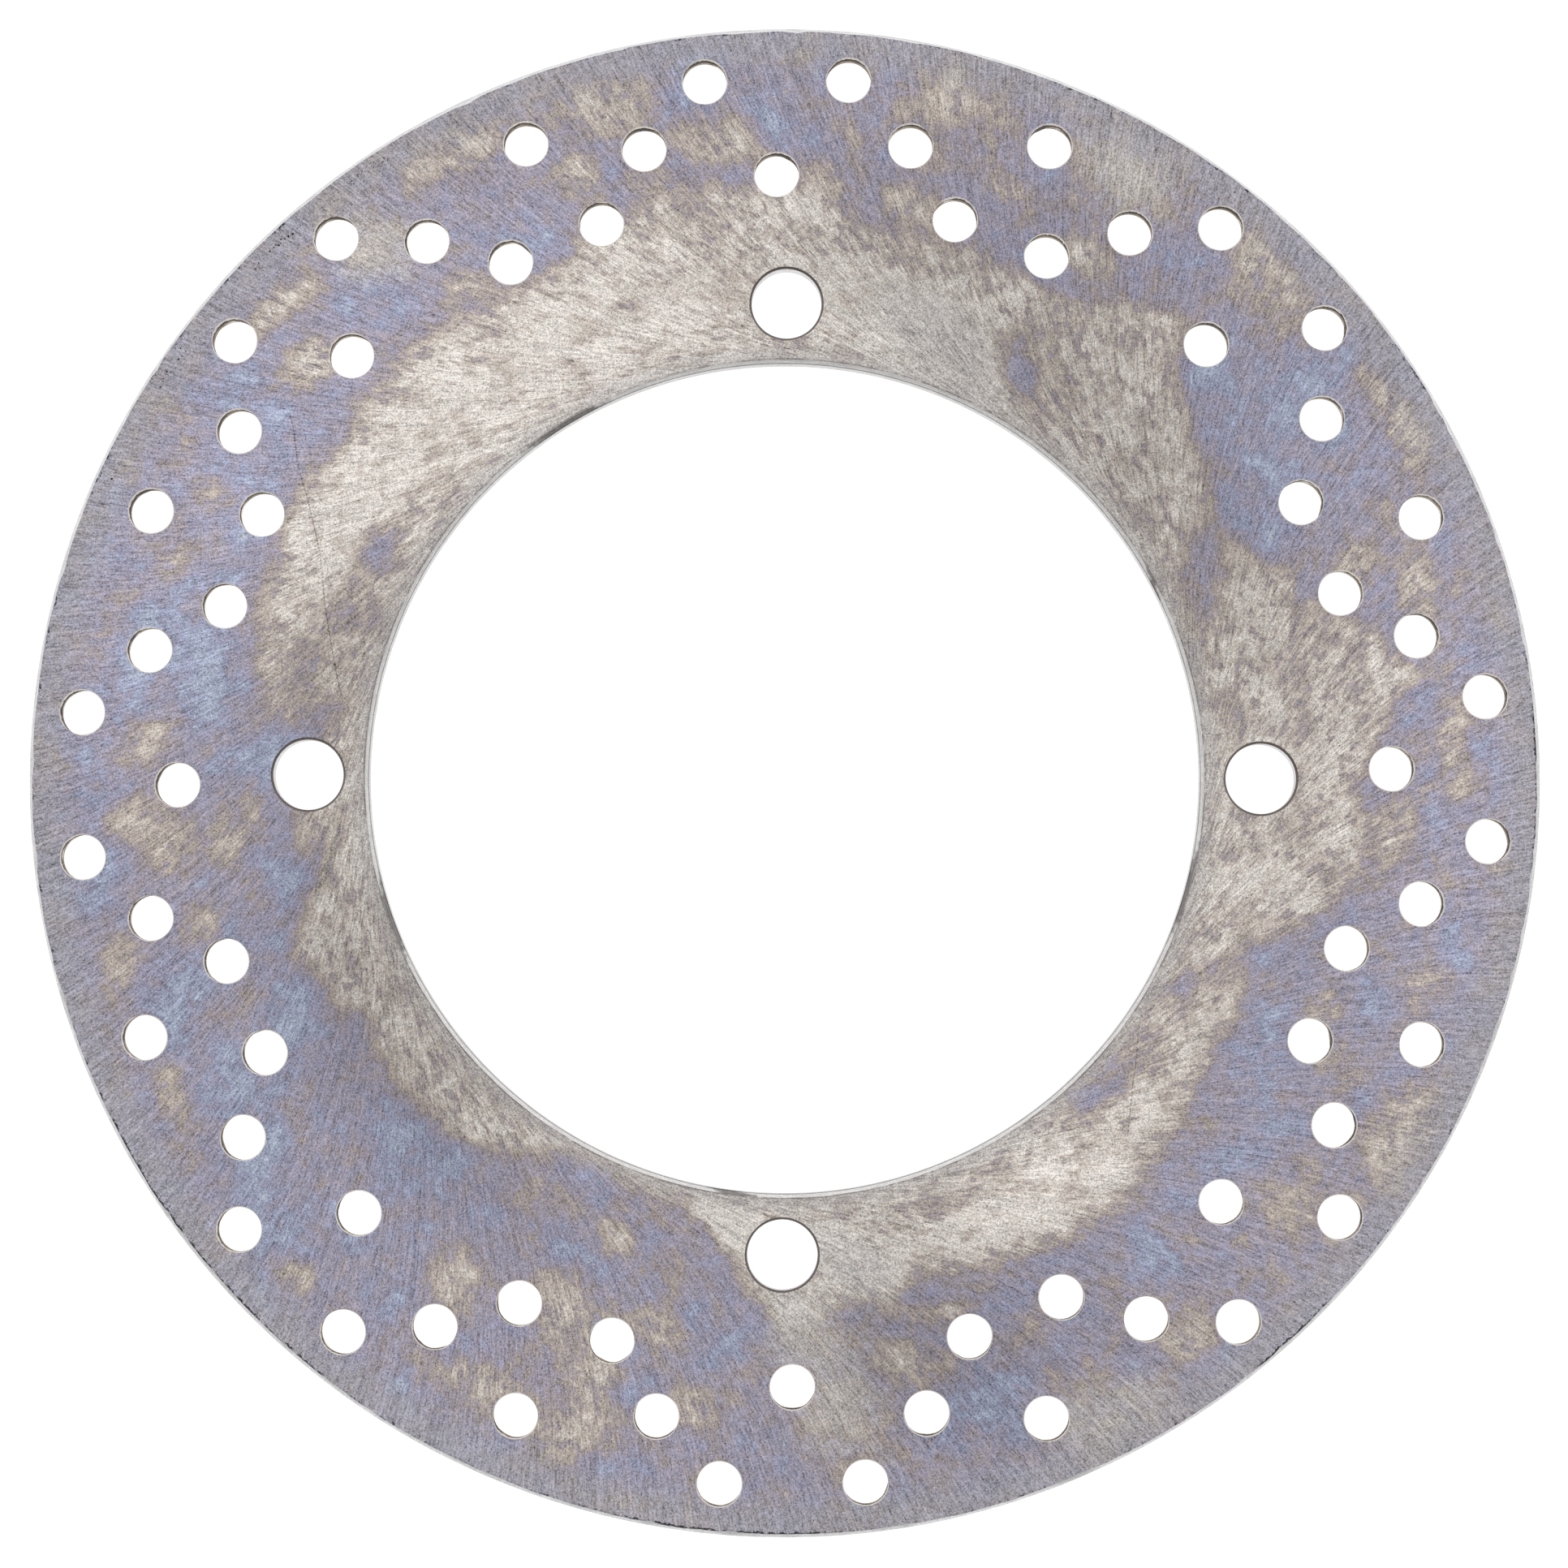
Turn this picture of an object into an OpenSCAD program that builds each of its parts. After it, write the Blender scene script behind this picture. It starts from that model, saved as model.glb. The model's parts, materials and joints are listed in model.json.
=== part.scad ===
// Flat brake disc rotor: one ground steel ring with a hub bore,
// four bolt holes and a repeating pattern of vent holes.
// Millimetres. The axle runs along Z, and the hub face lies on Z = 0.

/* [Ring] */
// Outside diameter of the disc
disc_d = 230; // [228:1:250]
// Thickness of the finished disc
disc_t = 4; // [3:0.1:6]
// Diameter of the bore that sits on the hub spigot
bore_d = 126.5; // [110:0.5:127]
// Chamfer round both edges of the outer rim
rim_chamfer = 0.5; // [0.1:0.1:0.8]
// Chamfer round both edges of the bore
bore_chamfer = 0.6; // [0.1:0.1:0.8]

/* [Bolt holes] */
// Number of bolt holes, evenly spaced
bolt_count = 4; // [3:1:6]
// Pitch circle diameter of the bolt holes
bolt_pcd = 145; // [144:0.5:152]
// Diameter of a bolt hole, clear of an M10 bolt
bolt_hole_d = 10.7; // [8:0.1:11]
// Chamfer round both ends of a bolt hole
bolt_chamfer = 0.35; // [0.1:0.05:0.5]

/* [Vent holes] */
// Diameter of a vent hole
vent_d = 6.8; // [5:0.1:7.2]
// Number of times the group of eight vent holes repeats round the disc
vent_groups = 8; // [4:1:8]
// Angle from a bolt hole to the middle of the first group
group_angle = 23.4; // [0:0.1:45]
// Radius at which the inner pair of a group sits
inner_pair_r = 89.3; // [88:0.1:91]
// Angle of each hole of the inner pair from the middle of its group
inner_pair_angle = 4.85; // [4.5:0.05:5.5]
// Radius at which the middle pair of a group sits
middle_pair_r = 98.7; // [97.5:0.1:100]
// Angle of each hole of the middle pair from the middle of its group
middle_pair_angle = 10.55; // [10:0.05:11]
// Radius at which the outer pair of a group sits
outer_pair_r = 107.4; // [106.5:0.1:108]
// Angle of each hole of the outer pair from the middle of its group
outer_pair_angle = 16.6; // [16:0.1:17]
// Radius at which the lone crown hole of a group sits
crown_r = 104.9; // [104:0.1:106]
// Angle by which the crown hole stands off the middle of its group
crown_angle = -0.95; // [-2:0.05:2]
// Radius at which the lone hole between two groups sits
gap_r = 92.4; // [91:0.1:94]
// Angle from the middle of a group to the lone hole beyond it
gap_angle = 22.6; // [22:0.1:23]

/* [Hidden] */
$fn = 128;
disc_r = disc_d / 2;
bore_r = bore_d / 2;
group_pitch = 360 / vent_groups;
overcut = 1; // how far a cutter runs past each face

// Radius and angle of the eight vent holes of one group, from its middle
vent_group = [
    [inner_pair_r, -inner_pair_angle],
    [inner_pair_r, inner_pair_angle],
    [middle_pair_r, -middle_pair_angle],
    [middle_pair_r, middle_pair_angle],
    [outer_pair_r, -outer_pair_angle],
    [outer_pair_r, outer_pair_angle],
    [crown_r, crown_angle],
    [gap_r, gap_angle]
];

// Places its children at a radius and an angle about the axle
module at_polar(radius, angle) {
    rotate([0, 0, angle]) translate([radius, 0, 0]) children();
}

// The ring before drilling, with its four chamfered edges
module blank() {
    rotate_extrude() polygon([
        [bore_r + bore_chamfer, 0],
        [disc_r - rim_chamfer, 0],
        [disc_r, rim_chamfer],
        [disc_r, disc_t - rim_chamfer],
        [disc_r - rim_chamfer, disc_t],
        [bore_r + bore_chamfer, disc_t],
        [bore_r, disc_t - bore_chamfer],
        [bore_r, bore_chamfer]
    ]);
}

// A straight cutter through both faces
module through_hole(d) {
    translate([0, 0, -overcut]) cylinder(d = d, h = disc_t + 2 * overcut);
}

// A 45 degree cone that chamfers the end of a hole on the face at Z = 0
module hole_chamfer(d, chamfer) {
    translate([0, 0, -overcut])
        cylinder(
            d1 = d + 2 * (chamfer + overcut),
            d2 = d,
            h = chamfer + overcut
        );
}

module bolt_hole() {
    through_hole(bolt_hole_d);
    hole_chamfer(bolt_hole_d, bolt_chamfer);
    translate([0, 0, disc_t]) mirror([0, 0, 1])
        hole_chamfer(bolt_hole_d, bolt_chamfer);
}

module bolt_holes() {
    for (i = [0 : bolt_count - 1])
        at_polar(bolt_pcd / 2, i * 360 / bolt_count) bolt_hole();
}

module vent_holes() {
    for (g = [0 : vent_groups - 1], hole = vent_group)
        at_polar(hole[0], group_angle + g * group_pitch + hole[1])
            through_hole(vent_d);
}

module brake_disc() {
    color([0.58, 0.57, 0.6])
        difference() {
            blank();
            bolt_holes();
            vent_holes();
        }
}

brake_disc();
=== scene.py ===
# Ground steel brake disc on a pale table, seen from straight above.
# The ring is one closed skin built on a polar grid, with each hole's wall carried round it.
import json
import math
from types import SimpleNamespace

import bpy
import numpy as np
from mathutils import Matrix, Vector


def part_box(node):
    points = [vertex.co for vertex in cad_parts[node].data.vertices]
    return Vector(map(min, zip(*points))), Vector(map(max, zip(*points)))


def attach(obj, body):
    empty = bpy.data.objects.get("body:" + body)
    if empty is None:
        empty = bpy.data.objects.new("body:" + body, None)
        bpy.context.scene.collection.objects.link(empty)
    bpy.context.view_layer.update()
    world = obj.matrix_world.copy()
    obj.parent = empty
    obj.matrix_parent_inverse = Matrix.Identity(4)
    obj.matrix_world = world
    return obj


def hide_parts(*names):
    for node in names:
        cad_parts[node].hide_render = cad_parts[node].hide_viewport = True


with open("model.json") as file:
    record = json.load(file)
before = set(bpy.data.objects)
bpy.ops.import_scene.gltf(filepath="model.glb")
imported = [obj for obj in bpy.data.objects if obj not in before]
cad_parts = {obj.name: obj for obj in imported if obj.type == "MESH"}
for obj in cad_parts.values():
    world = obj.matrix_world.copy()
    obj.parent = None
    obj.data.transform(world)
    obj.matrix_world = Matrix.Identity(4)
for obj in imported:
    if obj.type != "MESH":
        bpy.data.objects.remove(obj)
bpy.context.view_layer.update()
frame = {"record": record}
mm = 0.001

record = frame["record"]
mountDims = {mount["name"]: mount["dims"] for mount in record["mounts"]}
discLow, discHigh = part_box("brake_disc")

# Lengths are in mm, with the axle at the origin
disc = {
    "rimRadius": max(discHigh.x, discHigh.y) / mm,
    "boreRadius": mountDims["hub_bore"]["r_mm"],
    "topZ": discHigh.z / mm,
    "bottomZ": discLow.z / mm,
    "rimChamfer": 0.5,
    "boreChamfer": 0.6,
    "round": 0.05,                      # how far a chamfer's corner is rounded into the wall
    "roundFrom": 0.92,                  # shares of the chamfer between which it is
    "roundTo": 1.1,
    "cell": 1.04,                       # width of the grid's cells from row to row
    "wallRow": 1.4,                     # depth of the points along each straight wall
    "rimWaves": [3, 7, 16, 31, 58, 97],  # waves round the disc in the rim chamfer's width
    "rimWander": 0.09,                  # how far that width strays
    "boreWaves": [2, 9, 27, 61],
    "boreWander": 0.03,
    "boreSeed": 3,
    "chips": 46,                        # nicks round the rim
    "chipWidth": (0.004, 0.012),        # half the width, in radians
    "chipDepth": (0.08, 0.3),
    "seed": 12,
    "sharpAngle": 32,                   # degrees past which an edge is shown sharp
}

bolts = {
    "count": mountDims["mount_bolts"]["count"],
    "circleRadius": mountDims["mount_bolts"]["pcd_mm"] / 2,
    "holeRadius": mountDims["mount_bolts"]["hole_r_mm"],
    "chamfer": 0.35,
    "round": 0.04,          # how far the chamfer's corner is rounded into the hole
    "waves": [2, 5, 9],
    "wander": 0.025,
    "seed": 5,
    "blockRows": 7,         # half the grid block that is cut away round a hole
    "blockColumns": 10,
}

vents = {
    "groups": 8,
    "groupAngle": 23.4,     # degrees from +X to the middle of the first group
    "holeRadius": 3.4,
    # radius in mm, and degrees from the middle of the group
    "holes": [(92.4, -22.4), (107.4, -16.6), (98.7, -10.55), (89.3, -4.85),
              (104.9, -0.95), (89.3, 4.85), (98.7, 10.55), (107.4, 16.6)],
    "cellsBetween": [10, 11, 10, 7, 10, 10, 11, 10],    # grid columns from each hole to the next
    "lip": 0.13,            # width of the rolled edge
    "lipWander": 0.02,
    "cleanDepth": 1.3,      # depth of the smooth band that the punch leaves
    "cleanRagged": 0.22,    # how far that depth strays round a hole
    "cleanSpread": 0.15,    # how far it strays from hole to hole
    "cleanFade": 0.15,      # half the depth over which it ends
    "tear": 0.16,           # how far the torn band below it stands back
    # the torn band's steps downwards: how far back each is and how far it strays, as shares of the tear
    "tearSteps": [(0.375, 0.25), (0.7, 0.5), (1.0, 0.4), (0.8, 0.0), (1.6, 0.1875)],
    "tearEnd": 0.45,        # height over the far face at which it starts to close again
    "burrFrom": 0.1,        # and at which the burr starts
    # shares of a point's neighbours that smooth the tear's wander
    "smear": (0.3, 0.5, 0.6, 0.5, 0.3),
    "blockRows": 4,
    "blockColumns": 5,
}

# The face was ground by the rim of a cup wheel standing over the ring
wheel = {
    "radius": 130.0,
    "centre": 193.6,        # distance from the axle to the wheel's own
}

print("frame: a disc", round(2 * disc["rimRadius"], 1), "mm across and", round(disc["topZ"], 1), "mm thick")


def polar(radius, angle, height):
    # Point at a radius and an angle about the axle, at a height
    return np.stack([radius * np.cos(angle), radius * np.sin(angle), height + 0 * radius * angle], -1)


def ripple(angle, counts, size, seed):
    # Sum of sine waves round the disc, each with a whole number of waves and a seeded phase
    random = np.random.default_rng(seed)
    phases = random.uniform(0, 2 * np.pi, len(counts))
    heights = random.uniform(0.5, 1, len(counts))
    waves = np.sin(np.multiply.outer(angle, counts) + phases) * heights
    return size * waves.sum(-1) / np.sqrt(len(counts))


def chips(angle, count, seed):
    # Sum of narrow bumps at seeded places, each falling off as a bell curve
    random = np.random.default_rng(seed)
    places = random.uniform(0, 2 * np.pi, count)
    widths = random.uniform(*disc["chipWidth"], count)
    depths = random.uniform(*disc["chipDepth"], count)
    away = np.angle(np.exp(1j * np.subtract.outer(angle, places)))
    return (depths * np.exp(-(away / widths) ** 2)).sum(-1)


def gridColumns():
    # Angles of the grid's columns, spaced so that each vent hole's middle is on a column
    knots = np.array([angle for radius, angle in vents["holes"]])
    pitch = 360 / vents["groups"]
    cells = np.concatenate([[0], np.cumsum(vents["cellsBetween"])])
    one = np.interp(np.arange(cells[-1]), cells, np.append(knots, knots[0] + pitch))
    starts = vents["groupAngle"] + pitch * np.arange(vents["groups"])
    return np.radians(np.add.outer(starts, one).ravel()), cells


def gridRows():
    # Radii of the grid's rows, spaced so that each hole's middle is on a row
    inner = disc["boreRadius"] + disc["boreChamfer"]
    outer = disc["rimRadius"] - disc["rimChamfer"]
    holeRadii = sorted({radius for radius, angle in vents["holes"]})
    knots = np.array([inner, bolts["circleRadius"], *holeRadii, outer])
    cells = np.concatenate([[0], np.cumsum(np.round(np.diff(knots) / disc["cell"]).astype(int))])
    return np.interp(np.arange(cells[-1] + 1), cells, knots)


def blockEdge(rows, columns):
    # Steps round the edge of a grid block, anticlockwise from the middle of its outer side
    path = [(rows, k) for k in range(columns)]
    path += [(k, columns) for k in range(rows, -rows, -1)]
    path += [(-rows, k) for k in range(columns, -columns, -1)]
    path += [(k, -columns) for k in range(-rows, rows)]
    path += [(rows, k) for k in range(-columns, 0)]
    return np.array(path)


def strip(indices, outward):
    # Quads between neighbouring rows of an index grid that closes on itself along its last axis
    here = indices[:-1]
    below = indices[1:]
    there = np.roll(here, -1, -1)
    thereBelow = np.roll(below, -1, -1)
    order = [here, below, thereBelow, there] if outward else [here, there, thereBelow, below]
    return np.stack(order, -1).reshape(-1, 4)


class Skin:  # vertices and quads gathered piece by piece
    def __init__(self):
        self.points = []
        self.quads = []
        self.count = 0

    def add(self, points):
        # Keeps the points and returns the grid of their indices
        shape = points.shape[:-1]
        start = self.count
        self.points.append(points.reshape(-1, 3))
        self.count += int(np.prod(shape))
        return np.arange(start, self.count).reshape(shape)

    def whole(self):
        # All points and quads, less the points that no quad uses
        points = np.concatenate(self.points)
        used, quads = np.unique(np.concatenate(self.quads), return_inverse=True)
        return points[used], quads.reshape(-1, 4)


def boltProfile(angle, holes):
    # Chamfer, straight drilled wall, chamfer: radius beyond the hole's own, and height
    top = disc["topZ"]
    bottom = disc["bottomZ"]
    cut = bolts["chamfer"]
    bend = bolts["round"]
    wander = ripple(angle, np.array(bolts["waves"]), bolts["wander"], bolts["seed"])
    steps = [
        (cut + wander, top),
        (bend, top - cut + bend),
        (0, top - cut - 1.5 * bend),
        (0, top - disc["wallRow"]),
        (0, bottom + disc["wallRow"]),
        (0, bottom + cut + 1.5 * bend),
        (bend, bottom + cut - bend),
        (cut, bottom),
    ]
    return [(out + 0 * angle, height + 0 * angle) for out, height in steps]


def ventProfile(angle, holes):
    # Rolled lip, smooth punched band, then a torn band that strays outwards and ends in a small burr
    thick = disc["topZ"] - disc["bottomZ"]
    lip = vents["lip"]
    fade = vents["cleanFade"]
    random = np.random.default_rng(disc["seed"])
    rough = random.normal(0, 1, (6,) + angle.shape)
    rough = sum(share * np.roll(rough, away, -1) for away, share in enumerate(vents["smear"]))
    spread = random.normal(0, 1, (holes, 1))
    deep = vents["cleanDepth"] + vents["cleanRagged"] * rough[0] + vents["cleanSpread"] * spread
    rolled = lip + vents["lipWander"] * rough[1]
    steps = [(rolled, 0), (0.35 * lip, 0.3 * lip), (0, lip), (0.01, deep - fade)]
    depths = [deep + fade, 0.6 * (deep + thick), thick - vents["tearEnd"], thick - vents["burrFrom"], thick]
    wanders = [rough[2], rough[3], rough[4], 0, rough[5]]
    for (back, stray), depth, wander in zip(vents["tearSteps"], depths, wanders):
        steps.append((vents["tear"] * (back + stray * wander), depth))
    return [(out + 0 * angle, disc["topZ"] - depth + 0 * angle) for out, depth in steps]


def ventHoles(angle, radius, knotCells):
    # Centres of the vent holes, the grid row and column that each is on, and its wall
    radii = np.tile([hole[0] for hole in vents["holes"]], vents["groups"])
    pitch = len(angle) // vents["groups"]
    columns = np.add.outer(pitch * np.arange(vents["groups"]), knotCells[:-1]).ravel()
    return {
        "centres": np.stack([radii, angle[columns]], -1),
        "rows": np.abs(np.subtract.outer(radii, radius)).argmin(1),
        "columns": columns,
        "half": (vents["blockRows"], vents["blockColumns"]),
        "radius": vents["holeRadius"],
        "profile": ventProfile,
    }


def boltHoles(angle, radius):
    # The same for the bolt holes, which are evenly spaced from +X
    radii = np.full(bolts["count"], bolts["circleRadius"])
    angles = 2 * np.pi * np.arange(bolts["count"]) / bolts["count"]
    away = np.angle(np.exp(1j * np.subtract.outer(angles, angle)))
    return {
        "centres": np.stack([radii, angles], -1),
        "rows": np.abs(np.subtract.outer(radii, radius)).argmin(1),
        "columns": np.abs(away).argmin(1),
        "half": (bolts["blockRows"], bolts["blockColumns"]),
        "radius": bolts["holeRadius"],
        "profile": boltProfile,
    }


def carryHoles(skin, grid, holes):
    # Wall of each hole: from the edge of its grid block in to the lip, down the wall and out again below
    path = blockEdge(*holes["half"])
    rowOf = holes["rows"][:, None] + path[:, 0]
    columnOf = (holes["columns"][:, None] + path[:, 1]) % grid["columns"]
    centres = holes["centres"]
    spin = centres[:, 1:] + 2 * np.pi * np.arange(len(path)) / len(path)
    middle = polar(centres[:, :1], centres[:, 1:], 0.0)
    way = polar(np.ones_like(spin), spin, 0.0)
    rings = []
    for out, height in holes["profile"](spin, len(centres)):
        ring = middle + way * (holes["radius"] + out)[..., None]
        ring[..., 2] = height
        rings.append(ring)
    halfTop = (grid["topPoints"][columnOf, rowOf] + rings[0]) / 2
    halfBottom = (grid["bottomPoints"][columnOf, rowOf] + rings[-1]) / 2
    inside = skin.add(np.stack([halfTop, *rings, halfBottom]))
    edgeTop = grid["top"][columnOf, rowOf]
    edgeBottom = grid["bottom"][columnOf, rowOf]
    skin.quads.append(strip(np.concatenate([edgeTop[None], inside, edgeBottom[None]]), False))


def cutBlocks(keep, holes):
    # Drops the grid cells under each hole's block
    rows, columns = holes["half"]
    rowCells = holes["rows"][:, None] + np.arange(-rows, rows)
    columnCells = (holes["columns"][:, None] + np.arange(-columns, columns)) % keep.shape[0]
    keep[columnCells[:, :, None], rowCells[:, None, :]] = False


def edgeProfile(chamfer, wander, sign, radius):
    # Chamfer, straight edge, chamfer: radius at each height, with sign +1 for the rim and -1 for the bore
    top = disc["topZ"]
    bottom = disc["bottomZ"]
    start = disc["roundFrom"] * chamfer
    end = disc["roundTo"] * chamfer
    steps = [
        (disc["round"], top - start),
        (0, top - end),
        (0, top - disc["wallRow"]),
        (0, bottom + disc["wallRow"]),
        (0, bottom + end),
        (disc["round"], bottom + start),
    ]
    return [(radius - sign * back + 0 * wander, height + 0 * wander) for back, height in steps]


def carryEdge(skin, grid, angle, profile, row, outward):
    # Wall round the whole disc, from a row of the upper face down to the same row of the lower one
    rings = skin.add(np.stack([polar(radius, angle, height) for radius, height in profile]))
    whole = np.concatenate([grid["top"][None, :, row], rings, grid["bottom"][None, :, row]])
    skin.quads.append(strip(whole, outward))


def makeRing():
    # Both flat faces as one polar grid each, less the hole blocks, joined by the hole, rim and bore walls
    angle, knotCells = gridColumns()
    radius = gridRows()
    rimRipple = ripple(angle, np.array(disc["rimWaves"]), disc["rimWander"], disc["seed"])
    rimCut = disc["rimChamfer"] + rimRipple + chips(angle, disc["chips"], disc["seed"] + 1)
    boreRipple = ripple(angle, np.array(disc["boreWaves"]), disc["boreWander"], disc["boreSeed"])
    boreCut = disc["boreChamfer"] + boreRipple
    radii = np.tile(radius, (len(angle), 1))
    radii[:, -1] = disc["rimRadius"] - rimCut
    radii[:, 0] = disc["boreRadius"] + boreCut
    angles = np.tile(angle[:, None], (1, len(radius)))

    skin = Skin()
    grid = {
        "columns": len(angle),
        "topPoints": polar(radii, angles, disc["topZ"]),
        "bottomPoints": polar(radii, angles, disc["bottomZ"]),
    }
    grid["top"] = skin.add(grid["topPoints"])
    grid["bottom"] = skin.add(grid["bottomPoints"])

    ventSet = ventHoles(angle, radius, knotCells)
    boltSet = boltHoles(angle, radius)
    keep = np.ones((len(angle), len(radius) - 1), bool)
    cutBlocks(keep, ventSet)
    cutBlocks(keep, boltSet)
    for here, upward in ((grid["top"], True), (grid["bottom"], False)):
        there = np.roll(here, -1, 0)
        corners = [here[:, :-1], here[:, 1:], there[:, 1:], there[:, :-1]]
        cells = np.stack(corners if upward else corners[::-1], -1)
        skin.quads.append(cells[keep])
    carryHoles(skin, grid, ventSet)
    carryHoles(skin, grid, boltSet)

    rim = edgeProfile(disc["rimChamfer"], rimCut, 1, disc["rimRadius"])
    bore = edgeProfile(disc["boreChamfer"], boreCut, -1, disc["boreRadius"])
    carryEdge(skin, grid, angle, rim, -1, True)
    carryEdge(skin, grid, angle, bore, 0, False)
    return skin.whole()


def grainAngle(radius):
    # Angle through which a grinding arc has turned about the axle when it reaches this radius
    reach = wheel["centre"] ** 2 - wheel["radius"] ** 2
    return np.arccos(np.clip((radius ** 2 + reach) / (2 * wheel["centre"] * radius), -1, 1))


# The oxide film runs from 0, bare and cream, through tan and violet, to 1, pale blue.
# A patch is its angle in degrees, its radius, half its width in degrees and half its height in mm.
stains = {
    "inside": 0.2,          # film in the pale inner band
    "outside": 0.66,        # film beyond it
    "fade": 1.5,            # width in mm over which one turns into the other
    "lean": 0.5,            # patches lean half as much as the grinding arcs
    "firmness": 1.5,        # how firm a patch's edge is, with 1 for a plain bell curve
    # radius that the pale band reaches, every 10 degrees
    "paleReach": [87, 97, 84, 77, 80, 93, 85, 86, 85, 90, 92, 87, 84, 86, 84, 85, 83, 81,
                  70, 70, 79, 73, 75, 73, 65, 65, 68, 83, 80, 79, 82, 83, 79, 77, 76, 89],
    # patches of thicker or thinner film, each group with its change of film
    "patches": [
        # the first group makes the film paler where the grain's highlight falls: partly thinner film, partly
        # painted sheen
        (-0.15, [(122, 74, 30, 12), (146, 80, 12, 7), (300, 75, 20, 7), (80, 73, 14, 8)]),
        (0.2, [(163, 71, 9, 7), (58, 74, 7, 6), (318, 67, 10, 4), (18, 84, 2.5, 4), (9, 80, 4, 3)]),
        (0.36, [(22, 67, 6, 4), (28, 73, 5, 5), (9, 70, 1.8, 1.6), (151, 71, 5, 3), (60, 71, 3, 3),
                (289, 69, 3, 2), (315, 68, 4, 2.5), (335, 71, 2.5, 8), (176, 74, 3, 10)]),
        (-0.36, [(17, 101, 3, 3), (21, 92, 2.5, 5), (30, 108, 5, 3), (46, 107, 4, 4), (70, 97, 4, 3),
                 (78, 90, 2.5, 3), (96, 98, 4, 4), (105, 106, 3.5, 5), (117, 108, 5, 3), (137, 106, 4, 2.5),
                 (139, 96, 3, 4), (161, 99, 3, 3), (177, 97, 2, 5), (187, 94, 4, 5), (197, 105, 4, 4),
                 (208, 105, 3, 3), (226, 106, 2, 3), (237, 91, 3, 5), (244, 103, 5, 4), (248, 88, 5, 7),
                 (253, 104, 4, 4), (250, 74, 2.5, 2), (306, 105, 2, 3), (321, 104, 2, 5), (331, 108, 5, 5),
                 (337, 90, 2, 4), (342, 100, 2, 4), (355, 92, 3, 5), (3, 102, 4, 2.5), (60, 92, 3, 3),
                 (75, 107, 4, 5), (88, 90, 3, 4), (109, 97, 2, 4), (123, 90, 2, 3), (184, 100, 2, 4),
                 (195, 92, 2, 4), (185, 71, 3, 5), (186, 84, 3, 4), (203, 91, 2, 4), (252, 96, 3, 5),
                 (258, 86, 3, 3), (262, 97, 2, 3), (263, 68, 4, 3), (283, 91, 3, 4), (287, 85, 3, 2)]),
        (0.22, [(35, 97, 4, 9), (30, 84, 6, 6), (43, 88, 5, 5), (62, 86, 3, 2), (92, 100, 2, 4),
                (119, 92, 3, 5), (131, 96, 3, 6), (153, 90, 6, 4), (168, 97, 6, 8), (187, 104, 2.5, 5),
                (200, 95, 4, 8), (213, 95, 4, 5), (221, 80, 5, 4), (232, 79, 7, 4), (220, 102, 5, 5),
                (258, 107, 3, 4), (302, 103, 2, 3), (318, 88, 5, 5), (333, 83, 6, 4), (97, 108, 3, 4),
                (146, 97, 5, 8), (171, 88, 4, 4), (193, 77, 3, 3), (207, 84, 4, 4), (246, 79, 4, 2),
                (262, 85, 3, 5), (287, 100, 5, 6), (308, 91, 1.5, 5), (325, 93, 2, 4), (340, 95, 3, 5)]),
        (0.1, [(202, 98, 36, 16)]),
    ],
    # patches where the film is worn through
    "worn": [(128, 103, 4, 8), (61, 107, 5, 7), (274, 90, 5, 15), (278, 74, 4, 8), (297, 109, 6, 6),
             (70, 71, 9, 7)],
    # patches that are lighter or darker all over: partly a painted sheen, the grinding grain's highlight and
    # its dark lobes, and partly tone differences in the steel
    "light": [
        (0.15, [(133, 85, 30, 25), (163, 100, 20, 13), (0, 104, 26, 11), (305, 74, 12, 5)]),
        (-0.14, [(62, 80, 26, 24), (30, 72, 26, 12), (216, 73, 30, 15), (286, 90, 10, 14),
                 (165, 70, 12, 8)]),
        (-0.08, [(283, 85, 24, 42), (72, 72, 16, 12), (205, 72, 26, 10)]),
    ],
    # stretches of the bore's edge that are dirty, and of the rim that are pitted or have a dark line
    "soot": [(121, 63.5, 7, 2), (199, 63.5, 6.5, 2), (343, 63.5, 7, 2), (27, 63.5, 2, 2), (262, 63.5, 3, 2),
             (124, 112.9, 4, 0.9), (134, 112.6, 6, 1.2), (146, 112.8, 5, 0.9), (157, 112.6, 3, 0.8),
             (219, 114.9, 14, 1), (0, 114.9, 5, 1), (265, 114.8, 9, 0.8), (312, 114.8, 3, 1)],
    "turnBelow": 140,       # the far face has the same stains, turned by this many degrees
}


def patchWeight(radius, angle, spots):
    # Sum of a flat-topped bell curve for each patch, in radius and in an angle that leans with the grind
    spots = np.array(spots, float)
    lean = stains["lean"] * (grainAngle(radius)[:, None] - grainAngle(spots[:, 1]))
    turn = np.subtract.outer(angle, np.radians(spots[:, 0])) - lean
    aside = np.angle(np.exp(1j * turn)) / np.radians(spots[:, 2])
    out = np.subtract.outer(radius, spots[:, 1]) / spots[:, 3]
    return np.exp(-(aside ** 2 + out ** 2) ** stains["firmness"]).sum(1)


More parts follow.
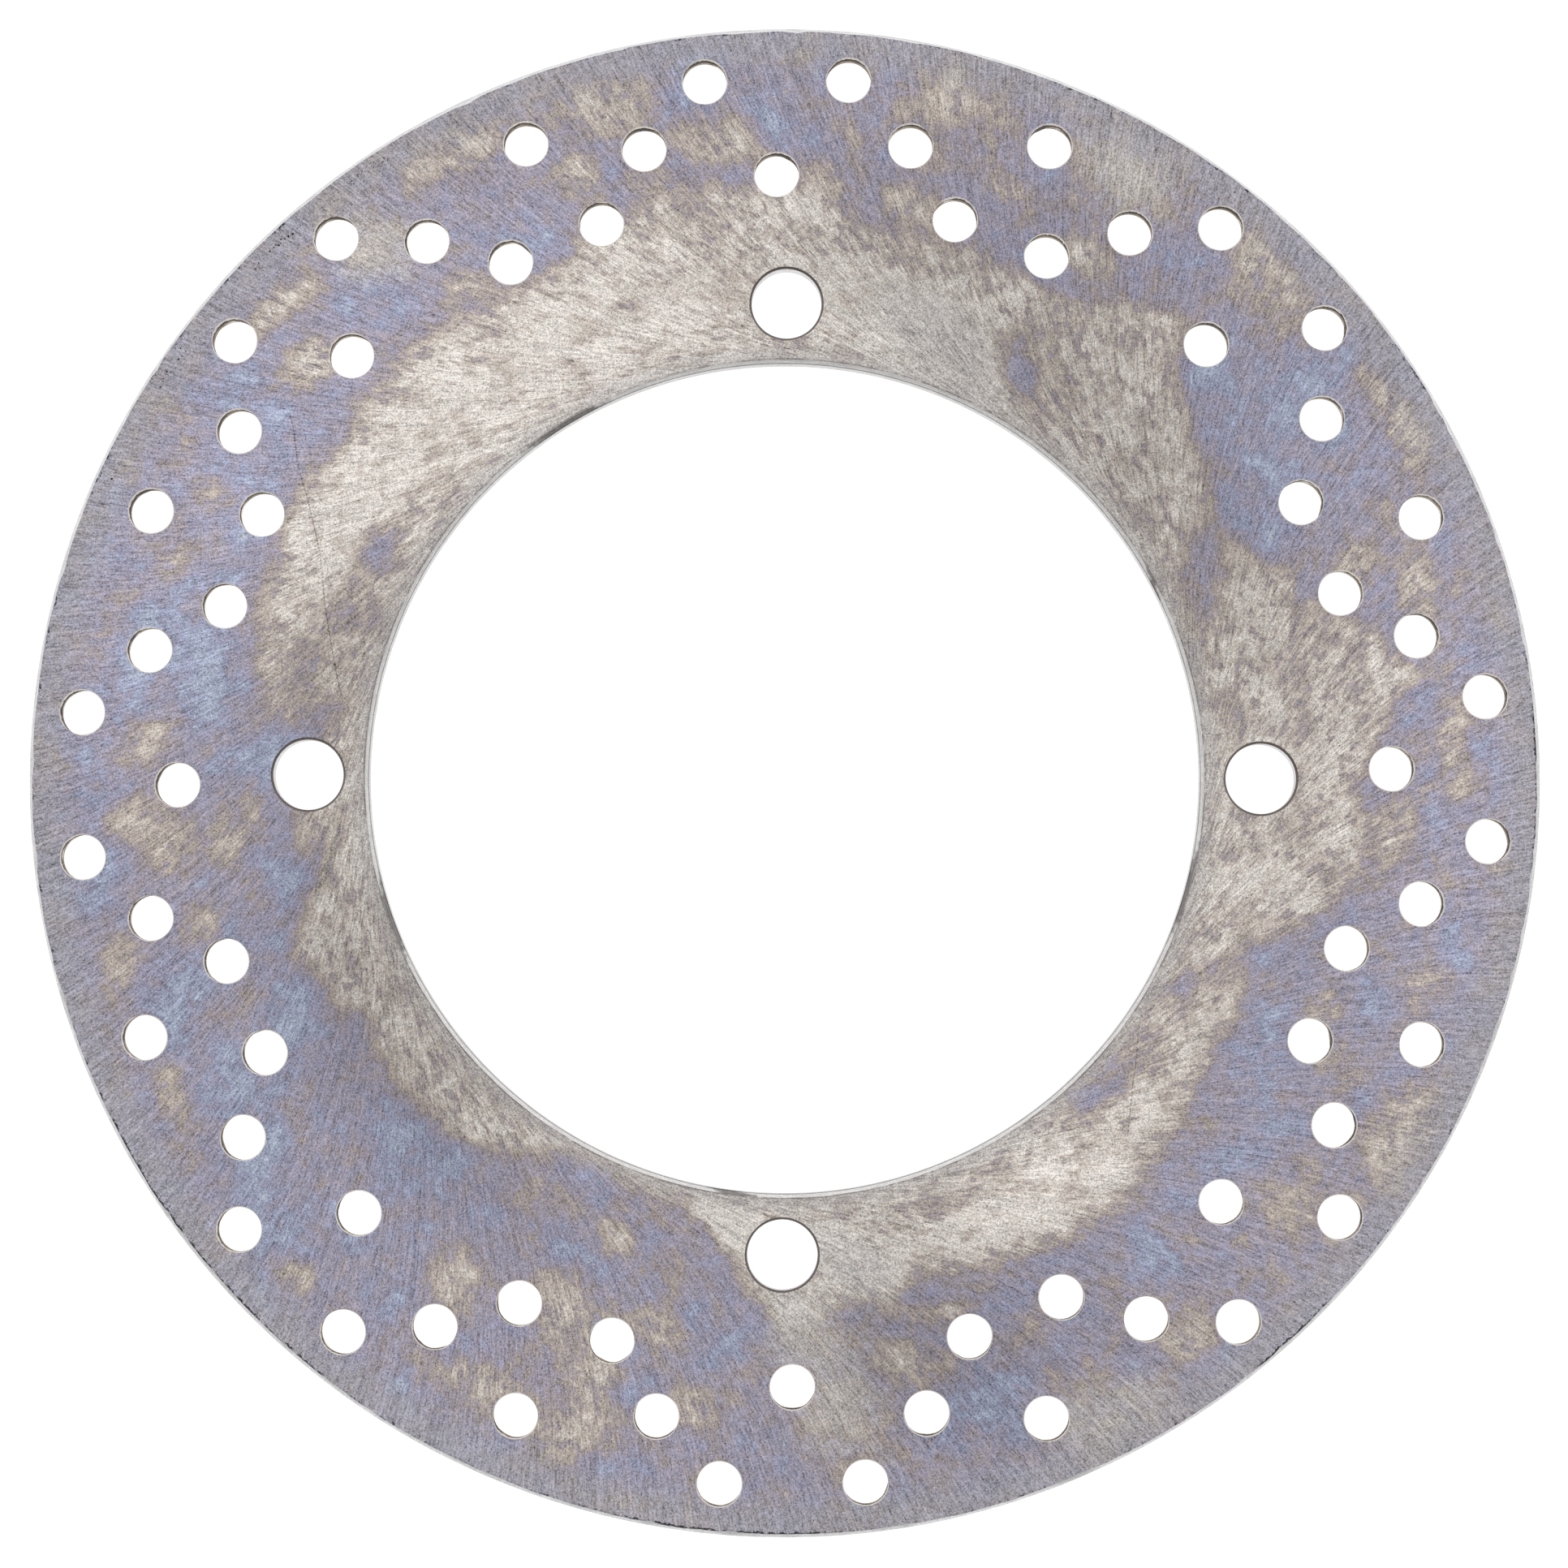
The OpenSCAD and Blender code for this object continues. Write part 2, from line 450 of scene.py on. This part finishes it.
def stainFields(points):
    # Film: an S curve from low in the pale band to high beyond it, plus the patches.
    # Light, worn and soot: sums of their patches; the light field is partly painted sheen and partly tone
    # differences
    above = points[:, 2] > (disc["topZ"] + disc["bottomZ"]) / 2
    side = np.where(above, 1, -1)
    radius = np.hypot(points[:, 0], points[:, 1])
    angle = np.arctan2(points[:, 1] * side, points[:, 0])
    angle = angle + np.where(above, 0, np.radians(stains["turnBelow"]))
    reach = stains["paleReach"]
    marks = np.linspace(0, 2 * np.pi, len(reach) + 1)
    edge = np.interp(angle % (2 * np.pi), marks, reach + reach[:1])
    beyond = 1 / (1 + np.exp(-(radius - edge) * 2 / stains["fade"]))
    film = stains["inside"] + (stains["outside"] - stains["inside"]) * beyond
    for change, spots in stains["patches"]:
        film = film + change * np.minimum(patchWeight(radius, angle, spots), 1)
    # light field: partly painted sheen of the grain's highlight, partly tone differences in the steel
    light = 1 + sum(change * patchWeight(radius, angle, spots) for change, spots in stains["light"])
    worn = np.minimum(patchWeight(radius, angle, stains["worn"]), 1)
    return {"film": film, "worn": worn, "light": light, "soot": patchWeight(radius, angle, stains["soot"])}


class Value:  # wraps a socket, so that shader maths reads as an expression
    def __init__(self, shop, socket):
        self.shop = shop
        self.socket = socket

    def __add__(self, other):
        return self.shop.maths("ADD", self, other)

    def __sub__(self, other):
        return self.shop.maths("SUBTRACT", self, other)

    def __rsub__(self, other):
        return self.shop.maths("SUBTRACT", other, self)

    def __mul__(self, other):
        return self.shop.maths("MULTIPLY", self, other)

    def __truediv__(self, other):
        return self.shop.maths("DIVIDE", self, other)

    def __rtruediv__(self, other):
        return self.shop.maths("DIVIDE", other, self)

    __radd__ = __add__
    __rmul__ = __mul__


class Shop:  # one node tree, and the short ways to add to it
    def __init__(self, tree):
        self.tree = tree
        tree.nodes.clear()

    def node(self, kind, settings=None, inputs=None, output=0):
        # Adds a node, sets it up, then fills or links its sockets
        made = self.tree.nodes.new("ShaderNode" + kind)
        for name, value in (settings or {}).items():
            if name == "stops":
                setStops(made.color_ramp, value)
            else:
                setattr(made, name, value)
        for name, value in (inputs or {}).items():
            if isinstance(value, Value):
                self.tree.links.new(value.socket, made.inputs[name])
            else:
                made.inputs[name].default_value = value
        return Value(self, made.outputs[output]) if made.outputs else made

    def maths(self, operation, a, b=0.0):
        return self.node("Math", {"operation": operation}, {0: a, 1: b})

    def step(self, value, low, high):
        # Smooth rise from 0 at low to 1 at high
        return self.node("MapRange", {"interpolation_type": "SMOOTHSTEP"},
                         {"Value": value, "From Min": low, "From Max": high})

    def zone(self, value, riseFrom, riseTo, fallFrom, fallTo):
        # 1 between the rise and the fall, and 0 outside them
        return self.step(value, riseFrom, riseTo) * (1 - self.step(value, fallFrom, fallTo))

    def line(self, value, half, fade):
        # 1 where the value is near 0, gone at half plus fade
        return 1 - self.step(self.maths("ABSOLUTE", value), half, half + fade)

    def blend(self, factor, a, b, mode="MIX"):
        return self.node("Mix", {"data_type": "RGBA", "blend_type": mode}, {0: factor, 6: a, 7: b}, 2)

    def shade(self, colour, amount):
        # The colour times a number
        return self.blend(1.0, colour, self.vector(amount, amount, amount), "MULTIPLY")

    def vector(self, x, y, z):
        return self.node("CombineXYZ", {}, {0: x, 1: y, 2: z})

    def split(self, vector):
        first = self.node("SeparateXYZ", {}, {0: vector})
        return [Value(self, socket) for socket in first.socket.node.outputs]

    def stretch(self, vector, x, y, z):
        return self.node("VectorMath", {"operation": "MULTIPLY"}, {0: vector, 1: (x, y, z)})

    def field(self, name):
        # One of the fields that are kept at the ring's points
        return self.node("Attribute", {"attribute_name": name}, {}, "Fac")

    def noise(self, vector, detail=2.0, roughness=0.5):
        # Soft noise about 0, whose waves are one unit long
        return self.node("TexNoise", {}, {"Vector": vector, "Scale": 1.0, "Detail": detail,
                                          "Roughness": roughness}) - 0.5


def setStops(ramp, stops):
    # Puts a colour at each place along a ramp
    while len(ramp.elements) < len(stops):
        ramp.elements.new(0.5)
    for element, (place, colour) in zip(ramp.elements, stops):
        element.position = place
        element.color = colour


def tone(red, green, blue):
    # Screen colour, 0 to 255, as the light it stands for
    share = np.array([red, green, blue]) / 255
    light = np.where(share > 0.04045, ((share + 0.055) / 1.055) ** 2.4, share / 12.92)
    return (*light.tolist(), 1.0)


grain = {
    # noises of the same size every way: waves in a mm, detail and roughness
    "even": {
        "drift": (0.05, 1.0, 0.5),
        "cloud": (0.17, 3.0, 0.55),
        "dapple": (0.55, 2.0, 0.55),
        "crumbs": (1.1, 2.0, 0.7),
        "grit": (2.2, 1.0, 0.6),
        "specks": (4.4, 1.0, 0.7),
    },
    # noises drawn out along the grind: waves in a mm across it and along it, detail and roughness
    "drawn": {
        "ragged": (0.5, 0.24, 3.0, 0.6),
        "spots": (0.8, 0.42, 0.0, 0.6),
        "shred": (1.6, 0.6, 2.0, 0.6),
        "streak": (1.6, 0.13, 2.0, 0.6),
        "nicks": (2.2, 1.2, 1.0, 0.6),
        "hairs": (3.0, 0.06, 1.0, 0.5),
        "lines": (3.9, 0.5, 2.0, 0.75),
    },
    # lathe lines round the walls: waves in a mm round and down them, detail and roughness
    "turned": (0.4, 7.0, 2.0, 0.6),
    "crowded": (71, 80),            # radii over which the arcs stop crowding
    "crowdedWaves": 0.4,            # share of the waves that is left where they crowd
    "spread": 90,                   # radius at which the arcs are as far apart as their marks say
    "apart": 300,                   # mm that part the two faces' marks
}


def findPlace(shop):
    # Where a point is: in mm, about the axle, and as a place across and along the grinding arcs
    place = shop.stretch(shop.node("TexCoord", {}, {}, "Object"), 1 / mm, 1 / mm, 1 / mm)
    x, y, z = shop.split(place)
    side = shop.maths("SIGN", z - (disc["topZ"] + disc["bottomZ"]) / 2)
    y = y * side                    # each face is ground the same way, seen from its own side
    radius = shop.maths("SQRT", x * x + y * y)
    away = wheel["centre"]
    near = wheel["radius"]
    leant = (radius * radius + (away ** 2 - near ** 2)) / (radius * (2 * away))
    arc = shop.maths("ARCTAN2", y, x) - shop.maths("ARCCOSINE", shop.maths("MINIMUM", leant, 1.0))
    bend = (away ** 2 + near ** 2 - radius * radius) / (2 * away * near)
    run = shop.maths("ARCCOSINE", bend) * near
    across = shop.maths("COSINE", arc) * grain["spread"]
    upward = shop.maths("SINE", arc) * grain["spread"]
    ground = shop.vector(across, upward, run + side * grain["apart"])
    return SimpleNamespace(place=place, x=x, y=y, z=z, radius=radius, ground=ground)


def makeNoises(shop, at):
    # Every noise of the steel by its name. Near the bore, where the arcs crowd, coarser drawn ones take over
    made = {}
    for name, (waves, detail, roughness) in grain["even"].items():
        made[name] = shop.noise(shop.stretch(at.place, waves, waves, waves), detail, roughness)
    outer = shop.step(at.radius, *grain["crowded"])
    for name, (across, along, detail, roughness) in grain["drawn"].items():
        wide = shop.noise(shop.stretch(at.ground, across, across, along), detail, roughness)
        across = across * grain["crowdedWaves"]
        near = shop.noise(shop.stretch(at.ground, across, across, along), detail, roughness)
        made[name] = near + (wide - near) * outer
    waves, down, detail, roughness = grain["turned"]
    made["turned"] = shop.noise(shop.stretch(at.place, waves, waves, down), detail, roughness)
    return made


def addUp(noises, amounts):
    # Sum of the named noises, each times its amount
    total = 0.0
    for name, amount in amounts.items():
        total = noises[name] * amount + total
    return total


tint = {
    "film": [(0.0, tone(212, 206, 200)), (0.2, tone(192, 184, 177)), (0.34, tone(180, 170, 162)),
             (0.46, tone(165, 155, 152)), (0.54, tone(158, 150, 155)), (0.64, tone(159, 153, 166)),
             (0.76, tone(154, 151, 169)), (0.88, tone(151, 155, 177)), (1.0, tone(163, 170, 189))],
    "filmNoise": {"cloud": 1.1, "dapple": 0.4, "ragged": 0.45},
    "paleTo": (0.3, 0.5),           # film over which the pale band ends
    "paleMost": 0.51,               # thickest film in it
    "paleNoise": {"shred": 0.7, "dapple": 0.4, "ragged": 0.3},
    "paleNoiseOutside": 0.1,        # share of that noise on the rest of the face
    # violet blots in the pale band, where it isn't quite bare
    "blotFrom": (-0.1, 0.25),
    "blotNoise": {"ragged": 1.0, "dapple": 1.0, "shred": 0.4},
    "blotEdge": (0.13, 0.17),
    "spotEdge": (0.14, 0.18),
    "blotFilm": 0.24,
    # worn patches
    "wornFilm": 0.25,
    "wornNoise": {"ragged": 2.0, "dapple": 1.0},
    "wornEdge": (0.2, 1.0),
    "wornShare": 0.6,
    "worn": tone(190, 186, 184),
    # greyer bands: where each starts and ends, in mm from the rim or the bore, and how far its edge strays
    "rimBand": (8, 2),
    "rimStray": 6,
    "rimShare": 0.68,
    "rimGrey": tone(164, 161, 166),
    "boreBand": (1, 4),
    "boreStray": 5,
    "boreShare": 0.5,
    "boreGrey": tone(180, 177, 176),
}


def tintFace(shop, at, noises):
    # Film: the field from the points plus noise. Its colour comes from a ramp, then wear and the grey bands
    film = shop.field("film")
    worn = shop.field("worn")
    pale = 1 - shop.step(film, *tint["paleTo"])
    blotchy = pale * shop.step(film, *tint["blotFrom"])
    outside = tint["paleNoiseOutside"]
    film = film + addUp(noises, tint["filmNoise"]) - worn * tint["wornFilm"]
    film = film + addUp(noises, tint["paleNoise"]) * (blotchy * (1 - outside) + outside)
    blots = shop.step(addUp(noises, tint["blotNoise"]), *tint["blotEdge"])
    blots = blots + shop.step(noises["spots"], *tint["spotEdge"])
    film = film + blots * blotchy * tint["blotFilm"]
    film = film + (shop.maths("MINIMUM", film, tint["paleMost"]) - film) * pale
    face = shop.node("ValToRGB", {"stops": tint["film"]}, {"Fac": film})
    bare = shop.step(worn + addUp(noises, tint["wornNoise"]), *tint["wornEdge"])
    face = shop.blend(bare * tint["wornShare"], face, tint["worn"])

    start, end = tint["rimBand"]
    stray = noises["ragged"] * tint["rimStray"]
    rimBand = shop.step(at.radius + stray, disc["rimRadius"] - start, disc["rimRadius"] - end)
    face = shop.blend(rimBand * tint["rimShare"], face, tint["rimGrey"])
    start, end = tint["boreBand"]
    stray = noises["ragged"] * tint["boreStray"]
    boreBand = 1 - shop.step(at.radius + stray, disc["boreRadius"] + start, disc["boreRadius"] + end)
    return shop.blend(boreBand * tint["boreShare"], face, tint["boreGrey"]), rimBand


# Scratches across the face: start and end in mm, half width in mm, and how much darker they are
scratches = [
    ((-76, 56), (-67, 10), 0.10, 0.35),
    ((-66, 30), (-64, 14), 0.08, 0.2),
    ((55, -36), (52, -57), 0.09, 0.3),
    ((31, 56), (51, 52), 0.07, -0.3),
    ((44, 55), (53, 53), 0.06, -0.25),
    ((29, 64), (43, 66), 0.06, -0.25),
    ((42, -86), (56, -94), 0.07, -0.3),
    ((52, -86), (60, -93), 0.06, -0.25),
    ((70, -78), (78, -84), 0.06, -0.25),
    ((74, -28), (77, -31), 0.08, -0.25),
]


def scratchField(shop, at, wobble):
    # For each scratch: 1 on its line and 0 off it, from the distance across and along a straight line
    fadeIn = 2
    fadeOut = 4
    total = 0.0
    for (x0, y0), (x1, y1), half, dark in scratches:
        length = math.hypot(x1 - x0, y1 - y0)
        dx = (x1 - x0) / length
        dy = (y1 - y0) / length
        along = (at.x - x0) * dx + (at.y - y0) * dy
        aside = (at.x - x0) * -dy + (at.y - y0) * dx + wobble
        ends = shop.zone(along, 0, fadeIn, length - fadeOut, length)
        total = shop.line(aside, half * 0.5, half) * ends * dark + total
    return total


dirt = {
    "pit": tone(38, 36, 38),
    "dirt": tone(72, 66, 64),
    # pits in the rim band, where the soot field says
    "pitSoot": 0.27,
    "pitEdge": (0.36, 0.4),
    "pitFrom": (105, 109),
    "beyond": 0.1,                  # mm from a chamfer's edge to the dark line beside it
    # dark line beside the rim: half its width and its fade in mm, and what breaks it up
    "rimLine": (0.06, 0.18),
    "rimStray": 1.2,
    "rimNoise": {"crumbs": 1.0, "cloud": 0.5},
    "rimSoot": 0.4,
    "rimEdge": (0.06, 0.2),
    "rimShare": 0.95,
    # the same beside the bore
    "boreLine": (0.05, 0.17),
    "boreNoise": {"crumbs": 1.0, "cloud": 1.0},
    "boreEdge": (-0.25, 0.1),
    "boreShare": 0.45,
}


def dirtyFace(shop, at, noises, face, soot):
    # Pits in the rim band, and broken dark lines in the corners beside the rim and the bore
    pits = shop.step(soot * dirt["pitSoot"] + noises["grit"], *dirt["pitEdge"])
    face = shop.blend(pits * shop.step(at.radius, *dirt["pitFrom"]), face, dirt["pit"])
    corner = disc["rimRadius"] - disc["rimChamfer"] - dirt["beyond"]
    line = shop.line(at.radius - corner + noises["shred"] * dirt["rimStray"], *dirt["rimLine"])
    broken = shop.step(addUp(noises, dirt["rimNoise"]) + soot * dirt["rimSoot"], *dirt["rimEdge"])
    face = shop.blend(line * broken * dirt["rimShare"], face, dirt["pit"])
    corner = disc["boreRadius"] + disc["boreChamfer"] + dirt["beyond"]
    line = shop.line(at.radius - corner, *dirt["boreLine"])
    broken = shop.step(addUp(noises, dirt["boreNoise"]), *dirt["boreEdge"])
    return shop.blend(line * broken * dirt["boreShare"], face, dirt["dirt"])


walls = {
    # how level a surface is, from 0 for a wall to 1 for the face, as a chamfer and as a wall end
    "cutTo": (0.9, 0.99),
    "uprightTo": (0.1, 0.4),
    # radii between which a cut is on the bore, a bolt hole, a vent hole or the rim
    "boreTo": (64, 64.2),
    "boltZone": (65, 66, 79, 80),
    "ventZone": (78, 80, 112, 113),
    "rimFrom": (113.5, 114),
    "cutEdge": tone(214, 213, 214),
    "boreEdge": tone(214, 213, 212),
    # bolt holes' chamfers: painted shade, darker than the other cuts for the dark surroundings they reflect
    "boltEdge": tone(122, 114, 110),
    "rimWall": tone(182, 180, 180),
    # dark line along the bore's corner, and soot on its chamfer
    "cornerIn": 0.08,
    "cornerLine": (0.03, 0.07),
    "cornerShare": 0.6,
    "sootEdge": (0.3, 0.9),
    "sootShare": 0.75,
    # brown grime and wear on the turned walls
    "grimeNoise": {"cloud": 1.0, "crumbs": 0.6, "turned": 0.5},
    "grimeEdge": (0.02, 0.3),
    "grimeShare": 0.45,
    "wearNoise": {"turned": 0.7, "specks": 0.6},
    # vent walls: depth in mm at which the torn band starts, and at which bright broken steel shows in it
    "burnished": tone(226, 219, 211),
    "tornNoise": {"crumbs": 2.0, "shred": 1.0},
    "tornFrom": (0.35, 0.75),
    # torn band's dark brown: partly the fracture's own oxide, partly painted shade of the lower wall
    "tornWall": tone(66, 57, 52),
    "brokenNoise": {"ragged": 4.0, "crumbs": 2.0},
    "brokenFrom": (2.1, 3.0),
    "brokenWall": tone(176, 162, 146),
}


def cutWalls(shop, at, noises, face, soot):
    # Bright chamfers and turned walls, bolt-hole chamfers darkened as painted shade, and vent walls that are
    # burnished at the top and torn below, the torn band's dark brown partly its own oxide and partly painted
    # shade
    tilt = shop.node("NewGeometry", {}, {}, "True Normal")
    flat = shop.maths("ABSOLUTE", shop.split(tilt)[2])
    cut = 1 - shop.step(flat, *walls["cutTo"])
    upright = 1 - shop.step(flat, *walls["uprightTo"])
    boreCut = cut * (1 - shop.step(at.radius, *walls["boreTo"]))
    shadedBoltChamfer = (cut - upright) * shop.zone(at.radius, *walls["boltZone"])
    ventWall = cut * shop.zone(at.radius, *walls["ventZone"])
    rimWall = upright * shop.step(at.radius, *walls["rimFrom"])
    corner = shop.line(at.radius - disc["boreRadius"] - walls["cornerIn"], *walls["cornerLine"])
    sooty = (1 - upright) * shop.step(soot + noises["crumbs"], *walls["sootEdge"])
    grime = shop.step(addUp(noises, walls["grimeNoise"]), *walls["grimeEdge"]) * upright
    colour = shop.blend(cut, face, walls["cutEdge"])
    colour = shop.blend(boreCut, colour, walls["boreEdge"])
    colour = shop.blend(boreCut * corner * walls["cornerShare"], colour, dirt["dirt"])
    colour = shop.blend(boreCut * sooty * walls["sootShare"], colour, dirt["dirt"])
    # painted shade on the bolt holes' chamfers
    colour = shop.blend(shadedBoltChamfer, colour, walls["boltEdge"])
    colour = shop.blend(rimWall, colour, walls["rimWall"])
    colour = shop.blend(grime * walls["grimeShare"], colour, walls["brokenWall"])
    colour = shop.shade(colour, 1 + cut * addUp(noises, walls["wearNoise"]))

    depth = disc["topZ"] - at.z
    torn = shop.step(depth + addUp(noises, walls["tornNoise"]), *walls["tornFrom"]) * upright * ventWall
    broken = torn * shop.step(depth + addUp(noises, walls["brokenNoise"]), *walls["brokenFrom"])
    colour = shop.blend(ventWall, colour, walls["burnished"])
    # the torn band's colour: partly its oxide, partly painted shade
    colour = shop.blend(torn, colour, walls["tornWall"])
    return shop.blend(broken, colour, walls["brokenWall"]), torn


steel = {
    # how much each noise lightens or darkens the face
    "grindNoise": {"streak": 0.3, "hairs": 0.55, "lines": 1.7, "specks": 1.9, "dapple": 0.25},
    "light": 0.99,
    "scratchWobble": 4,
    "pitEdge": (0.27, 0.31),
    "pitShare": 0.85,
    "pitInside": 0.3,               # share of the pits away from the rim band
    "roughness": 0.42,
    "roughNoise": {"ragged": 0.3, "lines": 0.5},
    "tornRough": 0.4,
    "tornDull": 0.9,                # how much less metallic the torn bands are
    "bump": 0.4,
    "bumpHeight": 0.06,
    "bumpNoise": {"lines": 1.2, "streak": 0.6, "specks": 1.2},
    "bumpPits": 0.8,
}


def groundSteel():
    # Tinted face, then grinding marks, scratches and pits, then dirt, then the cut walls
    material = bpy.data.materials.new("ground_steel")
    material.use_nodes = True
    shop = Shop(material.node_tree)
    at = findPlace(shop)
    noises = makeNoises(shop, at)
    soot = shop.field("soot")
    gouges = scratchField(shop, at, noises["drift"] * steel["scratchWobble"])
    face, rimBand = tintFace(shop, at, noises)
    grind = steel["light"] + addUp(noises, steel["grindNoise"]) - gouges
    # multiplies in the light field: partly painted sheen of the grain's highlight, partly tone differences
    face = shop.shade(face, grind * shop.field("light"))
    inside = steel["pitInside"]
    pits = shop.step(noises["nicks"], *steel["pitEdge"]) * (inside + rimBand * (1 - inside))
    face = shop.blend(pits * steel["pitShare"], face, dirt["pit"])
    face = dirtyFace(shop, at, noises, face, soot)
    colour, torn = cutWalls(shop, at, noises, face, soot)
    height = addUp(noises, steel["bumpNoise"]) - pits * steel["bumpPits"] - gouges
    bump = shop.node("Bump", {}, {
        "Strength": steel["bump"], "Distance": steel["bumpHeight"] * mm, "Height": height,
    })
    shader = shop.node("BsdfPrincipled", {}, {
        "Base Color": colour,
        "Metallic": 1 - torn * steel["tornDull"],
        "Roughness": steel["roughness"] + addUp(noises, steel["roughNoise"]) + torn * steel["tornRough"],
        "Normal": bump,
    })
    shop.node("OutputMaterial", {}, {"Surface": shader})
    print("steel:", len(material.node_tree.nodes), "nodes")
    return material


def buildDisc():
    points, quads = makeRing()
    mesh = bpy.data.meshes.new("ground_ring")
    mesh.from_pydata((points * mm).tolist(), [], quads.tolist())
    fields = stainFields(points)
    for name, field in fields.items():
        mesh.attributes.new(name, "FLOAT", "POINT").data.foreach_set("value", field.astype(np.float32))
    print("stains:", ", ".join(fields))
    mesh.shade_smooth()
    mesh.set_sharp_from_angle(angle=math.radians(disc["sharpAngle"]))
    mesh.materials.append(groundSteel())
    mesh.validate()
    piece = bpy.data.objects.new("ground_ring", mesh)
    bpy.context.scene.collection.objects.link(piece)
    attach(piece, "root")
    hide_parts("brake_disc")
    print("ring:", len(mesh.vertices), "points,", len(mesh.polygons), "quads")
    return piece


# Lengths are in metres
studio = {
    "floorSize": 8.0,
    "floorDrop": 0.0002,    # keeps the table clear of the lower face
    "floorTone": (0.3, 0.3, 0.3, 1.0),
    "floorRoughness": 0.9,
    "floorGlow": 0.92,
    "skyTop": 0.9,
    "skySide": 0.5,
    "topFrom": (0.1, 0.75),         # how far up the sky its top takes over, 0 to 1
    "skyFront": 0.9,                # the bright wall behind the table, on the +Y side
    "skyBack": 0.3,                 # share of it that is taken off the -Y side
    "frontFrom": (-0.7, 0.95),      # over which the wall comes in, from -Y to +Y
    "frontTo": (0.3, 0.8),          # and how far up it ends
    "boxWidth": 0.7,
    "boxLength": 2.4,
    "boxHeight": 1.9,
    "boxPower": 1.6,
}

view = {
    "lens": 102.8,
    "sensor": 36,
    "nearest": 0.01,
    "place": (0.0021, -0.0355, 0.6804),        # above the middle of the upper face
    "turn": (2.894, 0.169, 0.256),             # degrees
}


def makeFloor():
    half = studio["floorSize"] / 2
    corners = [(-half, -half, 0), (half, -half, 0), (half, half, 0), (-half, half, 0)]
    mesh = bpy.data.meshes.new("table")
    mesh.from_pydata(corners, [], [(0, 1, 2, 3)])
    material = bpy.data.materials.new("table_white")
    material.use_nodes = True
    shop = Shop(material.node_tree)
    shader = shop.node("BsdfPrincipled", {}, {
        "Base Color": studio["floorTone"], "Roughness": studio["floorRoughness"], "Specular IOR Level": 0.0,
        "Emission Color": (1, 1, 1, 1), "Emission Strength": studio["floorGlow"],
    })
    shop.node("OutputMaterial", {}, {"Surface": shader})
    mesh.materials.append(material)
    floor = bpy.data.objects.new("table", mesh)
    bpy.context.scene.collection.objects.link(floor)
    floor.location.z = -studio["floorDrop"]
    print("table:", studio["floorSize"], "m wide")


def makeLight():
    # A dome that is bright overhead and on the +Y side, and a long soft box above
    world = bpy.data.worlds.new("soft_sky")
    world.use_nodes = True
    shop = Shop(world.node_tree)
    across, front, up = shop.split(shop.node("TexCoord", {}, {}, "Generated"))
    glow = studio["skySide"] + (studio["skyTop"] - studio["skySide"]) * shop.step(up, *studio["topFrom"])
    wall = shop.step(front, *studio["frontFrom"]) - studio["skyBack"]
    glow = glow + wall * studio["skyFront"] * (1 - shop.step(up, *studio["frontTo"]))
    sky = shop.node("Background", {}, {"Color": (1, 1, 1, 1), "Strength": glow})
    shop.node("OutputWorld", {}, {"Surface": sky})
    bpy.context.scene.world = world
    lamp = bpy.data.lights.new("softbox", "AREA")
    lamp.shape = "RECTANGLE"
    lamp.size = studio["boxWidth"]
    lamp.size_y = studio["boxLength"]
    lamp.energy = studio["boxPower"]
    softbox = bpy.data.objects.new("softbox", lamp)
    bpy.context.scene.collection.objects.link(softbox)
    softbox.location.z = studio["boxHeight"]
    print("light: a sky and a soft box of", studio["boxPower"], "W")


def makeCamera():
    data = bpy.data.cameras.new("camera")
    data.lens = view["lens"]
    data.sensor_width = view["sensor"]
    data.clip_start = view["nearest"]
    camera = bpy.data.objects.new("camera", data)
    bpy.context.scene.collection.objects.link(camera)
    x, y, z = view["place"]
    camera.location = (x, y, z + discHigh.z)
    camera.rotation_euler = [math.radians(turn) for turn in view["turn"]]
    bpy.context.scene.camera = camera
    print("camera:", view["lens"], "mm lens,", round(z, 2), "m above the disc")


bpy.context.scene.view_settings.view_transform = "Standard"
makeCamera()
makeLight()
makeFloor()
buildDisc()
